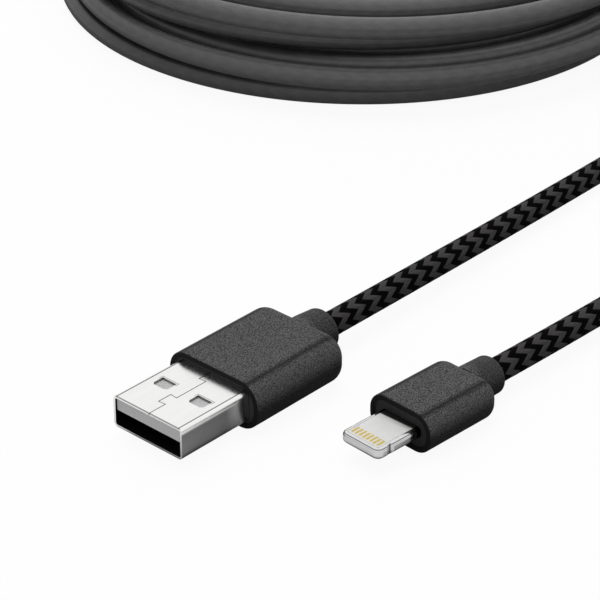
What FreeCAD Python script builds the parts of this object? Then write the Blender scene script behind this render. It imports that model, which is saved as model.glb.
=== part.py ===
import FreeCAD, Part
import Sketcher
import math
import os
from FreeCAD import Vector

# Braided charging cable, 3 m class. X runs along the charger plug towards its
# open end, Y across it, Z up. The origin lies on the floor under the middle of
# the charger plug. The phone plug, both leads and the coil lie on that floor.

os.makedirs("parts", exist_ok=True)
doc = FreeCAD.newDocument("charging_cable")

# Driving dimensions in millimetres, one named value each.
SIZES = {
    # fits
    "slip_gap": 0.05,
    "seat_gap": 0.1,
    # cord
    "cord_dia": 3.5,
    "braid_thick": 0.35,
    "wire_dia": 0.9,
    "wire_spread": 0.52,
    "crimp_wall": 0.35,
    "crimp_long": 1.6,
    # folded shell of the charger plug
    "shell_wide": 12.0,
    "shell_high": 4.5,
    "shell_wall": 0.3,
    "shell_corner": 0.6,
    "shell_out": 11.6,
    "shell_held": 7.0,
    "window_long": 1.95,
    "window_wide": 2.5,
    "window_setback": 5.16,
    "window_pitch": 6.26,
    "window_corner": 0.35,
    "seam_gap": 0.12,
    "seam_side": 0.3,
    "seam_jog": 1.1,
    "seam_slant": 0.12,
    "seam_first": 2.8,
    "seam_second": 4.85,
    "seam_third": 10.0,
    # insulator and contacts of the charger plug
    "tongue_setback": 0.3,
    "tongue_thick": 1.84,
    "block_setback": 9.0,
    "block_long": 6.0,
    "contact_wide": 1.0,
    "contact_thick": 0.25,
    "contact_proud": 0.05,
    "contact_inner_side": 1.0,
    "contact_outer_side": 3.5,
    "contact_outer_setback": 1.3,
    "contact_inner_setback": 2.3,
    "contact_tail": 2.0,
    "solder_long": 1.1,
    "solder_wide": 0.9,
    "solder_high": 0.8,
    # housing of the charger plug
    "host_wide": 15.6,
    "host_high": 7.0,
    "host_long": 17.1,
    "host_corner": 3.1,
    "host_wall": 0.7,
    "host_back": 1.8,
    "host_back_round": 2.0,
    "host_rim_round": 0.25,
    "host_recess": 0.3,
    "host_collar_dia": 6.0,
    "host_collar_root": 6.5,
    "host_collar_long": 3.9,
    "host_collar_round": 0.7,
    "host_saddle": 0.5,
    "host_wire_room": 4.2,
    "host_bare_long": 2.4,
    # tab of the phone plug
    "tab_wide": 6.65,
    "tab_high": 1.5,
    "tab_out": 7.25,
    "tab_held": 2.7,
    "tab_corner": 1.0,
    "tab_side_round": 0.5,
    "tab_rail": 0.65,
    "tab_nose": 0.6,
    "notch_setback": 2.2,
    "notch_long": 1.2,
    "notch_deep": 0.3,
    "insert_end": 7.9,
    "gilt_wide": 0.4,
    "gilt_long": 1.4,
    "gilt_pitch": 0.62,
    "gilt_setback": 0.95,
    # board and shield of the phone plug
    "board_wide": 5.0,
    "board_thick": 0.6,
    "board_setback": 0.8,
    "board_tail_wide": 6.4,
    "board_tail_long": 3.8,
    "board_gap": 0.15,
    "chip_side": 1.8,
    "chip_high": 0.5,
    "chip_offset": 0.8,
    "cap_long": 1.0,
    "cap_wide": 0.5,
    "cap_high": 0.45,
    "cap_side": 1.2,
    "shield_wide": 7.2,
    "shield_high": 3.0,
    "shield_long": 6.2,
    "shield_wall": 0.2,
    "shield_corner": 0.5,
    # housing of the phone plug
    "phone_wide": 10.5,
    "phone_high": 5.75,
    "phone_long": 12.9,
    "phone_corner": 2.6,
    "phone_wall": 0.7,
    "phone_back": 1.5,
    "phone_back_round": 1.75,
    "phone_rim_round": 0.25,
    "phone_recess": 0.3,
    "phone_collar_dia": 5.3,
    "phone_collar_root": 5.5,
    "phone_collar_long": 4.2,
    "phone_collar_round": 0.6,
    "phone_saddle": 0.1,
    "phone_bare_long": 1.9,
    "phone_tip_back": 15.17,
    "phone_side": 21.45,
    "phone_turn": 3.2,
    # coil
    "coil_radius": 53.4,
    "coil_turn_gap": 1.1,
    "coil_layer_gap": 0.5,
}

sheet = doc.addObject("Spreadsheet::Sheet", "Sizes")
for row, (alias, number) in enumerate(SIZES.items(), start=1):
    sheet.set("A%d" % row, alias)
    sheet.set("B%d" % row, str(number))
    sheet.setAlias("B%d" % row, alias)
doc.recompute()


class Dim:
    """A size that knows its number and the sheet formula it comes from."""

    def __init__(self, number, text):
        self.number = number
        self.text = text

    def joined(self, sign, other, number):
        right = other if isinstance(other, Dim) else Dim(other, repr(other))
        return Dim(number, "(%s %s %s)" % (self.text, sign, right.text))

    def __add__(self, other):
        return self.joined("+", other, self.number + value(other))

    def __sub__(self, other):
        return self.joined("-", other, self.number - value(other))

    def __mul__(self, other):
        return self.joined("*", other, self.number * value(other))

    def __truediv__(self, other):
        return self.joined("/", other, self.number / value(other))

    def __neg__(self):
        return Dim(-self.number, "(-1 * %s)" % self.text)


def value(size):
    return size.number if isinstance(size, Dim) else float(size)


def dim(alias):
    return Dim(SIZES[alias], "Sizes." + alias)


def bind(thing, path, size):
    if isinstance(size, Dim):
        thing.setExpression(path, size.text)


# Places shared by both plugs. A plug is drawn from its tip at x = 0 towards
# the cord at negative x, about its own axis, and then set down on the floor.
# The last number is the turn in degrees, clockwise as seen from above.
host_total = dim("shell_out") + dim("host_long") + dim("host_collar_long")
host_place = (host_total / 2, 0, dim("host_high") / 2, 0)
phone_place = (host_total / 2 - dim("phone_tip_back"), dim("phone_side"), dim("phone_high") / 2,
               dim("phone_turn"))
floor_place = (0, 0, 0, 0)

nodes = []


# Helpers for sketches and features

def placed(place):
    spot = Vector(*[value(size) for size in place[:3]])
    return FreeCAD.Placement(spot, FreeCAD.Rotation(Vector(0, 0, -1), value(place[3])))


def set_down(thing, place):
    thing.Placement = placed(place)
    for axis, size in zip("xyz", place):
        bind(thing, "Placement.Base." + axis, size)
    bind(thing, "Placement.Rotation.Angle", place[3])


def make_body(label, place):
    body = doc.addObject("PartDesign::Body", label)
    body.Label = label
    set_down(body, place)
    nodes.append(body)
    return body


def sketch_on(body, role, offset=0, side=0, lift=0):
    """A sketch on an origin plane of its own body, moved along the normal."""
    plane = next(item for item in body.Origin.OriginFeatures if item.Role == role)
    sketch = body.newObject("Sketcher::SketchObject", body.Label + "_sketch")
    sketch.AttachmentSupport = [(plane, "")]
    sketch.MapMode = "FlatFace"
    start = Vector(value(side), value(lift), value(offset))
    sketch.AttachmentOffset = FreeCAD.Placement(start, FreeCAD.Rotation())
    bind(sketch, "AttachmentOffset.Base.x", side)
    bind(sketch, "AttachmentOffset.Base.y", lift)
    bind(sketch, "AttachmentOffset.Base.z", offset)
    return sketch


def constrain(sketch, kind, *where, size=None):
    number = () if size is None else (value(size),)
    index = sketch.addConstraint(Sketcher.Constraint(kind, *where, *number))
    if size is not None:
        bind(sketch, "Constraints[%d]" % index, size)


def pin(sketch, geometry, point, across, along):
    """Fix a point of the sketch by its two distances from the origin."""
    if value(across) == 0:
        constrain(sketch, "PointOnObject", geometry, point, -2)
    else:
        constrain(sketch, "DistanceX", -1, 1, geometry, point, size=across)
    if value(along) == 0:
        constrain(sketch, "PointOnObject", geometry, point, -1)
    else:
        constrain(sketch, "DistanceY", -1, 1, geometry, point, size=along)


def add_polygon(sketch, corners):
    first = sketch.GeometryCount
    count = len(corners)
    spots = [Vector(value(u), value(v), 0) for u, v in corners]
    for i in range(count):
        sketch.addGeometry(Part.LineSegment(spots[i], spots[(i + 1) % count]))
    for i in range(count):
        constrain(sketch, "Coincident", first + i, 2, first + (i + 1) % count, 1)
    for i, (across, along) in enumerate(corners):
        pin(sketch, first + i, 1, across, along)


def add_box(sketch, left, right, low, high):
    add_polygon(sketch, [(left, low), (right, low), (right, high), (left, high)])


def add_circle(sketch, diameter, across=0, along=0):
    centre = Vector(value(across), value(along), 0)
    index = sketch.addGeometry(Part.Circle(centre, Vector(0, 0, 1), value(diameter) / 2))
    pin(sketch, index, 3, across, along)
    constrain(sketch, "Diameter", index, size=diameter)


def add_rounded(sketch, width, height, radius, across=0):
    """A rectangle with round corners, centred, made of four lines and arcs."""
    first = sketch.GeometryCount
    u, v, r = value(width) / 2, value(height) / 2, value(radius)
    mid = value(across)
    centres = [(1, -1), (1, 1), (-1, 1), (-1, -1)]
    ends = [
        ((mid - u + r, -v), (mid + u - r, -v)),
        ((mid + u, -v + r), (mid + u, v - r)),
        ((mid + u - r, v), (mid - u + r, v)),
        ((mid - u, v - r), (mid - u, -v + r)),
    ]
    for i, (sign_u, sign_v) in enumerate(centres):
        start, end = ends[i]
        sketch.addGeometry(Part.LineSegment(Vector(*start, 0), Vector(*end, 0)))
        centre = Vector(mid + sign_u * (u - r), sign_v * (v - r), 0)
        circle = Part.Circle(centre, Vector(0, 0, 1), r)
        turn = math.radians(-90 + 90 * i)
        sketch.addGeometry(Part.ArcOfCircle(circle, turn, turn + math.pi / 2))
    for i, (sign_u, sign_v) in enumerate(centres):
        line, arc = first + 2 * i, first + 2 * i + 1
        constrain(sketch, "Tangent", line, 2, arc, 1)
        constrain(sketch, "Tangent", arc, 2, first + (2 * i + 2) % 8, 1)
        reach_u = (width / 2 - radius) * sign_u
        reach_v = (height / 2 - radius) * sign_v
        pin(sketch, arc, 3, reach_u + across, reach_v)
    constrain(sketch, "Radius", first + 1, size=radius)
    for arc in (3, 5, 7):
        constrain(sketch, "Equal", first + 1, first + arc)


def pad(body, sketch, length, midplane=False):
    feature = body.newObject("PartDesign::Pad", body.Label + "_pad")
    feature.Profile = sketch
    feature.Length = value(length)
    feature.Midplane = midplane
    bind(feature, "Length", length)
    return feature


def pocket(body, sketch, length=None, midplane=False):
    """A cut against the sketch's normal, right through where no depth is given."""
    feature = body.newObject("PartDesign::Pocket", body.Label + "_pocket")
    feature.Profile = sketch
    feature.Midplane = midplane
    if length is None:
        feature.Type = "ThroughAll"
    else:
        feature.Length = value(length)
        bind(feature, "Length", length)
    return feature


def revolve(body, sketch):
    """A solid turned about the plug's own axis."""
    feature = body.newObject("PartDesign::Revolution", body.Label + "_turned")
    feature.Profile = sketch
    feature.ReferenceAxis = (sketch, ["H_Axis"])
    feature.Angle = 360
    return feature


def dress(body, kind, edges, size):
    """A fillet or chamfer on the edges of the last feature that a test picks."""
    doc.recompute()
    base = body.Tip
    names = ["Edge%d" % (i + 1) for i, edge in enumerate(base.Shape.Edges) if edges(edge)]
    feature = body.newObject("PartDesign::" + kind, body.Label + "_" + kind.lower())
    feature.Base = (base, names)
    path = "Radius" if kind == "Fillet" else "Size"
    setattr(feature, path, value(size))
    bind(feature, path, size)
    return feature


def in_plane(x_place):
    """Picks edges that lie in the plane across the plug at this distance."""
    def test(edge):
        box = edge.BoundBox
        return abs(box.XMin - value(x_place)) < 1e-4 and abs(box.XMax - value(x_place)) < 1e-4
    return test


def part_box(name, left, front, low, long, wide, high):
    """A plain block with its lowest corner at the given place."""
    box = doc.addObject("Part::Box", name)
    box.Label = name
    sizes = {"Length": long, "Width": wide, "Height": high,
             "Placement.Base.x": left, "Placement.Base.y": front, "Placement.Base.z": low}
    for path, size in sizes.items():
        bind(box, path, size)
    return box


def compound(label, pieces, place):
    group = doc.addObject("Part::Compound", label)
    group.Label = label
    group.Links = pieces
    set_down(group, place)
    nodes.append(group)
    return group


# Helpers for cords and wires

def route_wire(points):
    """Straight runs joined by tangent arcs as large as the two runs allow."""
    edges = []
    radii = []
    start = points[0]
    for before, corner, after in zip(points, points[1:], points[2:]):
        run_in = corner - before
        run_out = after - corner
        turn = run_in.getAngle(run_out)
        reach = 0.45 * min(run_in.Length, run_out.Length)
        way_in = Vector(run_in).normalize()
        way_out = Vector(run_out).normalize()
        enter = corner - way_in * reach
        leave = corner + way_out * reach
        radius = reach / math.tan(turn / 2)
        inward = (way_out - way_in).normalize()
        middle = corner + inward * (radius / math.cos(turn / 2) - radius)
        edges.append(Part.LineSegment(start, enter).toShape())
        edges.append(Part.Arc(enter, middle, leave).toShape())
        radii.append(radius)
        start = leave
    edges.append(Part.LineSegment(start, points[-1]).toShape())
    return Part.Wire(edges), radii


def tube_along(wire, direction, diameter):
    start = wire.OrderedVertexes[0].Point
    circle = Part.Circle(start, direction, diameter / 2)
    profile = Part.Wire(circle.toShape())
    return wire.makePipeShell([profile], True, False)


def solid_tube(label, wire, direction, diameter, place=floor_place):
    feature = doc.addObject("Part::Feature", label)
    feature.Label = label
    feature.Shape = tube_along(wire, direction, diameter)
    feature.Placement = placed(place)
    nodes.append(feature)
    section = math.pi * diameter ** 2 / 4
    expected = section * wire.Length
    if abs(feature.Shape.Volume - expected) > 0.01 * expected:
        raise RuntimeError("%s: the tube's volume differs from section times length" % label)
    return feature


# Charger plug

def host_shell():
    """Folded sheet shell: rounded tube, latch windows and a dovetail seam."""
    body = make_body("host_shell", host_place)
    length = dim("shell_out") + dim("shell_held")
    outline = sketch_on(body, "YZ_Plane", -length)
    add_rounded(outline, dim("shell_wide"), dim("shell_high"), dim("shell_corner"))
    pad(body, outline, length)
    inside = sketch_on(body, "YZ_Plane")
    wall = dim("shell_wall")
    add_rounded(inside, dim("shell_wide") - wall * 2, dim("shell_high") - wall * 2,
                dim("shell_corner") - wall)
    pocket(body, inside)

    windows = sketch_on(body, "XY_Plane", 0, -dim("window_setback") - dim("window_long") / 2)
    for sign in (-1, 1):
        add_window(windows, dim("window_pitch") / 2 * sign)
    pocket(body, windows, dim("shell_high") * 2, midplane=True)

    seam = sketch_on(body, "XY_Plane", dim("shell_high"))
    add_polygon(seam, seam_outline(length))
    pocket(body, seam, dim("shell_high"))


def add_window(sketch, across):
    """A latch window: square at one end, round corners at the other."""
    half_long = dim("window_long") / 2
    half_wide = dim("window_wide") / 2
    low = across - half_wide
    high = across + half_wide
    cut = dim("window_corner")
    add_polygon(sketch, [
        (-half_long, low), (half_long - cut, low), (half_long, low + cut),
        (half_long, high - cut), (half_long - cut, high), (-half_long, high)])


def seam_outline(length):
    """The slit between the folded edges, which hook into each other twice."""
    near = dim("seam_side")
    far = near - dim("seam_jog")
    gap = dim("seam_gap")
    slant = dim("seam_slant")
    first, second, third = dim("seam_first"), dim("seam_second"), dim("seam_third")
    one_side = [
        (gap, near), (-first, near), (-first + slant, far), (-second - slant, far),
        (-second, near), (-third, near), (-third + slant, far), (-length - gap, far)]
    other_side = [
        (-length - gap, far + gap), (-third + slant - gap, far + gap),
        (-third - gap, near + gap), (-second + gap, near + gap),
        (-second - slant + gap, far + gap), (-first + slant - gap, far + gap),
        (-first - gap, near + gap), (gap, near + gap)]
    return one_side + other_side


def contact_low():
    """Height of the contacts' open face under the tongue."""
    roof = dim("shell_high") / 2 - dim("shell_wall") - dim("slip_gap")
    return roof - dim("tongue_thick") - dim("contact_proud")


def host_insulator():
    """Tongue against the roof of the shell, with a full block behind it."""
    body = make_body("host_insulator", host_place)
    inner_wide = dim("shell_wide") - dim("shell_wall") * 2 - dim("slip_gap") * 2
    inner_high = dim("shell_high") - dim("shell_wall") * 2 - dim("slip_gap") * 2
    end = dim("block_setback") + dim("block_long")
    outline = sketch_on(body, "YZ_Plane", -end)
    add_rounded(outline, inner_wide, inner_high,
                dim("shell_corner") - dim("shell_wall") - dim("slip_gap"))
    pad(body, outline, end - dim("tongue_setback"))
    under = contact_low() + dim("contact_proud")
    room = sketch_on(body, "YZ_Plane")
    add_box(room, -inner_wide, inner_wide, -inner_high, under)
    pocket(body, room, dim("block_setback"))
    for kind in ("outer", "inner"):
        slots = sketch_on(body, "YZ_Plane", -dim("contact_%s_setback" % kind))
        for sign in (-1, 1):
            middle = dim("contact_%s_side" % kind) * sign
            add_box(slots, middle - dim("contact_wide") / 2, middle + dim("contact_wide") / 2,
                    contact_low(), contact_low() + dim("contact_thick"))
        pocket(body, slots)


def host_contact(name, kind, sign):
    """A stamped strip with a bevelled nose and a tail behind the block."""
    body = make_body("host_contact_" + name, host_place)
    start = dim("contact_%s_setback" % kind)
    end = dim("block_setback") + dim("block_long") + dim("contact_tail")
    low = contact_low()
    high = low + dim("contact_thick")
    nose = dim("contact_thick")
    middle = dim("contact_%s_side" % kind) * sign
    profile = sketch_on(body, "XZ_Plane", -middle)
    add_polygon(profile, [
        (-end, low), (-start - nose, low), (-start, low + dim("contact_proud") * 2),
        (-start, high), (-end, high)])
    pad(body, profile, dim("contact_wide"), midplane=True)


HOST_WIRES = (("power", "outer", 1, 1, 1), ("data_minus", "inner", 1, 1, -1),
              ("data_plus", "inner", -1, -1, -1), ("ground", "outer", -1, -1, 1))


def host_solder():
    """Solder beads that join the wire ends to the contact tails."""
    end = dim("block_setback") + dim("block_long") + dim("contact_tail")
    beads = []
    for name, kind, sign, _, _ in HOST_WIRES:
        middle = dim("contact_%s_side" % kind) * sign
        bead = part_box("host_bead_" + name, -end, middle - dim("solder_wide") / 2,
                        contact_low() + dim("contact_thick"),
                        dim("solder_long"), dim("solder_wide"), dim("solder_high"))
        beads.append(bead)
    compound("host_solder_joints", beads, host_place)


def wire_route(start, far, side, lift):
    """A wire end: level off the joint, across to the cable, level into it."""
    reach = (start.x - far) / 4
    spread_y = SIZES["wire_spread"] * side
    spread_z = SIZES["wire_spread"] * lift
    return [start, start - Vector(reach, 0, 0),
            Vector(far + reach, spread_y, spread_z), Vector(far, spread_y, spread_z)]


def host_wires():
    end = dim("block_setback") + dim("block_long") + dim("contact_tail")
    height = contact_low() + dim("contact_thick") + dim("wire_dia") / 2
    far = value(-end - dim("host_wire_room"))
    for name, kind, sign, side, lift in HOST_WIRES:
        start = Vector(-value(end), SIZES["contact_%s_side" % kind] * sign, value(height))
        wire, _ = route_wire(wire_route(start, far, side, lift))
        solid_tube("host_wire_" + name, wire, Vector(-1, 0, 0), SIZES["wire_dia"], host_place)


def jacket_dia():
    """The cable's width under its braid."""
    return dim("cord_dia") - dim("braid_thick") * 2


def cable_end(label, place, start, bare, stop):
    """Cable end in a plug: the stripped jacket, then the full braided cord."""
    body = make_body(label, place)
    thin = jacket_dia() / 2
    full = dim("cord_dia") / 2
    profile = sketch_on(body, "XZ_Plane")
    add_polygon(profile, [
        (-start, 0), (-start, thin), (-start - bare, thin),
        (-start - bare, full), (-stop, full), (-stop, 0)])
    revolve(body, profile)


def crimp_ring(label, place, start):
    """Clamp ring round the stripped jacket, bevelled at both rims."""
    body = make_body(label, place)
    bore = jacket_dia() / 2 + dim("slip_gap")
    rim = bore + dim("crimp_wall")
    bevel = dim("crimp_wall") / 3
    end = start + dim("crimp_long")
    profile = sketch_on(body, "XZ_Plane")
    add_polygon(profile, [
        (-start, bore), (-start, rim - bevel), (-start - bevel, rim),
        (-end + bevel, rim), (-end, rim - bevel), (-end, bore)])
    revolve(body, profile)


def host_cable_start():
    return (dim("block_setback") + dim("block_long") + dim("contact_tail")
            + dim("host_wire_room"))


def host_inner_mould():
    """First moulding: fills the housing round the shell, wires and cable."""
    body = make_body("host_inner_mould", host_place)
    gap = dim("slip_gap")
    wall = dim("host_wall") + gap
    front = dim("shell_out") + dim("host_recess")
    back = dim("shell_out") + dim("host_long") - dim("host_back") - gap
    outline = sketch_on(body, "YZ_Plane", -back)
    add_rounded(outline, dim("host_wide") - wall * 2, dim("host_high") - wall * 2,
                dim("host_corner") - wall)
    pad(body, outline, back - front)
    room = sketch_on(body, "YZ_Plane")
    add_rounded(room, dim("shell_wide") + gap * 2, dim("shell_high") + gap * 2,
                dim("shell_corner") + gap)
    pocket(body, room, host_cable_start())
    bore = sketch_on(body, "YZ_Plane")
    add_circle(bore, jacket_dia() + (dim("crimp_wall") + gap * 2) * 2)
    pocket(body, bore)


def plug_housing(label, place, front, sizes):
    """Outer moulding: rounded box, pillowed back, saddle and cable collar."""
    body = make_body(label, place)
    wide, high, length, corner, wall, back, back_round, rim_round = [
        dim(sizes + "_" + word) for word in
        ("wide", "high", "long", "corner", "wall", "back", "back_round", "rim_round")]
    rear = front + length
    outline = sketch_on(body, "YZ_Plane", -rear)
    add_rounded(outline, wide, high, corner)
    pad(body, outline, length)
    dress(body, "Fillet", in_plane(-rear), back_round)
    dress(body, "Fillet", in_plane(-front), rim_round)

    root = dim(sizes + "_collar_root") / 2
    tip = dim(sizes + "_collar_dia") / 2
    end = rear + dim(sizes + "_collar_long")
    saddle = dim(sizes + "_saddle")
    collar = sketch_on(body, "XZ_Plane")
    add_polygon(collar, [
        (-rear + back / 2, 0), (-rear + back / 2, root), (-rear, root),
        (-rear - saddle, root), (-end, tip), (-end, 0)])
    revolve(body, collar)
    dress(body, "Fillet", in_plane(-end), dim(sizes + "_collar_round"))

    room = sketch_on(body, "YZ_Plane")
    add_rounded(room, wide - wall * 2, high - wall * 2, corner - wall)
    pocket(body, room, rear - back)
    bore = sketch_on(body, "YZ_Plane")
    add_circle(bore, dim("cord_dia") + dim("slip_gap") * 2)
    pocket(body, bore)


# Phone plug

def phone_tab_frame():
    """Flat metal tab: rounded nose, side notches, window and board channel."""
    body = make_body("phone_tab_frame", phone_place)
    end = dim("tab_out") + dim("tab_held")
    half = dim("tab_wide") / 2
    nose = dim("tab_corner")
    plan = sketch_on(body, "XY_Plane")
    add_polygon(plan, [(-end, -half), (0, -half), (0, half), (-end, half)])
    pad(body, plan, dim("tab_high"), midplane=True)
    upright = lambda edge: abs(edge.BoundBox.ZLength - value(dim("tab_high"))) < 1e-4 \
        and abs(edge.BoundBox.XMax) < 1e-4
    dress(body, "Fillet", upright, nose)
    outer = lambda edge: edge.BoundBox.ZLength < 1e-4 and edge.BoundBox.XMax > -value(end) + 1e-4
    dress(body, "Fillet", outer, dim("tab_side_round"))

    notches = sketch_on(body, "XY_Plane")
    fore = -dim("notch_setback") + dim("notch_long") / 2
    aft = -dim("notch_setback") - dim("notch_long") / 2
    deep = dim("notch_deep")
    for sign in (-1, 1):
        edge = half * sign
        floor = (half - deep) * sign
        beyond = (half + deep) * sign
        add_polygon(notches, [
            (fore + deep, beyond), (fore, edge), (fore - deep, floor),
            (aft + deep, floor), (aft, edge), (aft - deep, beyond)])
    pocket(body, notches, dim("tab_high") * 2, midplane=True)

    window = sketch_on(body, "XY_Plane")
    rail = half - dim("tab_rail")
    add_box(window, -dim("insert_end"), -dim("tab_nose"), -rail, rail)
    pocket(body, window, dim("tab_high") * 2, midplane=True)
    channel = sketch_on(body, "YZ_Plane", -dim("insert_end") + dim("tab_rail") / 2)
    gap = dim("slip_gap")
    add_box(channel, -dim("board_wide") / 2 - gap, dim("board_wide") / 2 + gap,
            -dim("board_thick") / 2 - gap, dim("board_thick") / 2 + gap)
    pocket(body, channel)


def gilt_rows():
    """Side places of the eight contacts of one face."""
    return [dim("gilt_pitch") * (place - 3.5) for place in range(8)]


def phone_tab_insert():
    """Moulded insert, flush with the tab, slotted for board and contacts."""
    body = make_body("phone_tab_insert", phone_place)
    gap = dim("slip_gap")
    rail = dim("tab_wide") / 2 - dim("tab_rail") - gap
    fore = dim("tab_nose") + gap
    aft = dim("insert_end") - gap
    plan = sketch_on(body, "XY_Plane")
    add_box(plan, -aft, -fore, -rail, rail)
    pad(body, plan, dim("tab_high"), midplane=True)
    slot = sketch_on(body, "YZ_Plane", -dim("board_setback") + gap)
    add_box(slot, -dim("board_wide") / 2 - gap, dim("board_wide") / 2 + gap,
            -dim("board_thick") / 2, dim("board_thick") / 2)
    pocket(body, slot)
    holes = sketch_on(body, "XY_Plane")
    start = dim("gilt_setback")
    for middle in gilt_rows():
        add_box(holes, -start - dim("gilt_long"), -start,
                middle - dim("gilt_wide") / 2, middle + dim("gilt_wide") / 2)
    pocket(body, holes, dim("tab_high") * 2, midplane=True)


def phone_contacts(label, sign):
    """Eight gilt blocks that stand on the board and end flush with the tab."""
    high = (dim("tab_high") - dim("board_thick")) / 2
    low = dim("board_thick") / 2 if sign > 0 else -dim("tab_high") / 2
    start = dim("gilt_setback")
    blocks = []
    for place, middle in enumerate(gilt_rows()):
        block = part_box("%s_%d" % (label, place), -start - dim("gilt_long"),
                         middle - dim("gilt_wide") / 2, low,
                         dim("gilt_long"), dim("gilt_wide"), high)
        blocks.append(block)
    compound(label, blocks, phone_place)


def board_tail_start():
    return dim("tab_out") + dim("tab_held") + dim("board_gap")


def phone_board():
    """Circuit board: narrow under the contacts, wide behind the tab."""
    body = make_body("phone_board", phone_place)
    plan = sketch_on(body, "XY_Plane")
    narrow = dim("board_wide") / 2
    broad = dim("board_tail_wide") / 2
    fore, neck = dim("board_setback"), board_tail_start()
    end = neck + dim("board_tail_long")
    add_polygon(plan, [
        (-fore, -narrow), (-fore, narrow), (-neck, narrow), (-neck, broad),
        (-end, broad), (-end, -broad), (-neck, -broad), (-neck, -narrow)])
    pad(body, plan, dim("board_thick"), midplane=True)


def phone_control_chip():
    start = board_tail_start() + dim("chip_offset") / 2
    side = dim("chip_side")
    block = part_box("phone_chip_block", -start - side, -side / 2, dim("board_thick") / 2,
                     side, side, dim("chip_high"))
    compound("phone_control_chip", [block], phone_place)


def phone_capacitors():
    start = board_tail_start() + dim("chip_offset")
    pieces = []
    for sign in (-1, 1):
        middle = (dim("chip_side") / 2 + dim("cap_side")) * sign
        pieces.append(part_box("phone_capacitor", -start - dim("cap_long"),
                               middle - dim("cap_wide") / 2, dim("board_thick") / 2,
                               dim("cap_long"), dim("cap_wide"), dim("cap_high")))
    compound("phone_capacitors", pieces, phone_place)


PHONE_WIRES = (("power", 1.5, 1, 1), ("data_minus", 0.5, 1, -1),
               ("data_plus", -0.5, -1, -1), ("ground", -1.5, -1, 1))


def phone_wire_side(place):
    """The wires stand side by side across the board's tail."""
    return (dim("board_tail_wide") - dim("wire_dia")) / 4 * place


def phone_solder():
    end = board_tail_start() + dim("board_tail_long")
    beads = []
    for name, place, _, _ in PHONE_WIRES:
        middle = phone_wire_side(place)
        beads.append(part_box("phone_bead_" + name, -end, middle - dim("solder_wide") / 2,
                              dim("board_thick") / 2, dim("solder_long"),
                              dim("solder_wide"), dim("solder_high")))
    compound("phone_solder_joints", beads, phone_place)


def shield_start():
    return dim("tab_out") + dim("tab_held") + dim("slip_gap")


def phone_cable_start():
    return shield_start() + dim("shield_long") + dim("slip_gap")


def phone_wires():
    end = board_tail_start() + dim("board_tail_long")
    height = dim("board_thick") / 2 + dim("wire_dia") / 2
    far = -value(phone_cable_start())
    for name, place, side, lift in PHONE_WIRES:
        start = Vector(-value(end), value(phone_wire_side(place)), value(height))
        wire, _ = route_wire(wire_route(start, far, side, lift))
        solid_tube("phone_wire_" + name, wire, Vector(-1, 0, 0), SIZES["wire_dia"], phone_place)


def phone_shield(label, sign):
    """Pressed half shell over the board, open towards the other half."""
    body = make_body(label, phone_place)
    start = shield_start()
    end = start + dim("shield_long")
    half_wide = dim("shield_wide") / 2
    half_high = dim("shield_high") / 2 * sign
    seam = dim("slip_gap") / 2 * sign
    wall = dim("shield_wall")
    side = sketch_on(body, "YZ_Plane", -end)
    bevel = dim("shield_corner")
    add_polygon(side, [
        (-half_wide, seam), (-half_wide, half_high - bevel * sign),
        (-half_wide + bevel, half_high), (half_wide - bevel, half_high),
        (half_wide, half_high - bevel * sign), (half_wide, seam)])
    pad(body, side, dim("shield_long"))
    inner_wide = half_wide - wall
    inner_high = half_high - wall * sign
    room = sketch_on(body, "YZ_Plane", -start)
    add_polygon(room, [
        (-inner_wide, -seam), (-inner_wide, inner_high - bevel * sign),
        (-inner_wide + bevel, inner_high), (inner_wide - bevel, inner_high),
        (inner_wide, inner_high - bevel * sign), (inner_wide, -seam)])
    pocket(body, room)


def phone_inner_mould():
    """First moulding: holds the tab, the shield and the clamped cable end."""
    body = make_body("phone_inner_mould", phone_place)
    gap = dim("slip_gap")
    wall = dim("phone_wall") + gap
    front = dim("tab_out") + dim("phone_recess")
    back = dim("tab_out") + dim("phone_long") - dim("phone_back") - gap
    outline = sketch_on(body, "YZ_Plane", -back)
    add_rounded(outline, dim("phone_wide") - wall * 2, dim("phone_high") - wall * 2,
                dim("phone_corner") - wall)
    pad(body, outline, back - front)
    mouth = sketch_on(body, "YZ_Plane")
    add_rounded(mouth, dim("tab_wide") + gap * 2, dim("tab_high") + gap * 2,
                dim("tab_side_round") + gap)
    pocket(body, mouth, dim("tab_out") + dim("tab_held"))
    room = sketch_on(body, "YZ_Plane", -dim("tab_out") - dim("tab_held"))
    add_box(room, -dim("shield_wide") / 2 - gap, dim("shield_wide") / 2 + gap,
            -dim("shield_high") / 2 - gap, dim("shield_high") / 2 + gap)
    pocket(body, room, dim("shield_long") + gap * 2)
    bore = sketch_on(body, "YZ_Plane", -phone_cable_start() + gap)
    add_circle(bore, jacket_dia() + (dim("crimp_wall") + gap * 2) * 2)
    pocket(body, bore)


# Cord

LEAD_HEIGHT = SIZES["cord_dia"] / 2
LEAD_STRAIGHT = 10.0
COIL_MIDDLE = Vector(-113.2, -78.0, 0)
COIL_FIRST_ANGLE = 137.5
COIL_LAST_ANGLE = 90.0
COIL_WHOLE_TURNS = 9
CLIMB_TURNS = 0.5
CLIMB_STARTS = (2.236, 4.736, 6.736)
POINTS_A_TURN = 4
AWAY_ANGLE = 222.5
LAYER_SHIFTS = ((0.0, 0.0), (0.0, 0.0), (5.0, 0.0), (5.0, 0.0))


def coil_turns():
    return COIL_WHOLE_TURNS - (COIL_FIRST_ANGLE - COIL_LAST_ANGLE) / 360


def layer_state(turn):
    """The layer at this turn as a number that grows smoothly in each climb."""
    layer = 0.0
    for start in CLIMB_STARTS:
        step = min(max((turn - start) / CLIMB_TURNS, 0.0), 1.0)
        layer += step * step * (3 - 2 * step)
    return layer


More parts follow.
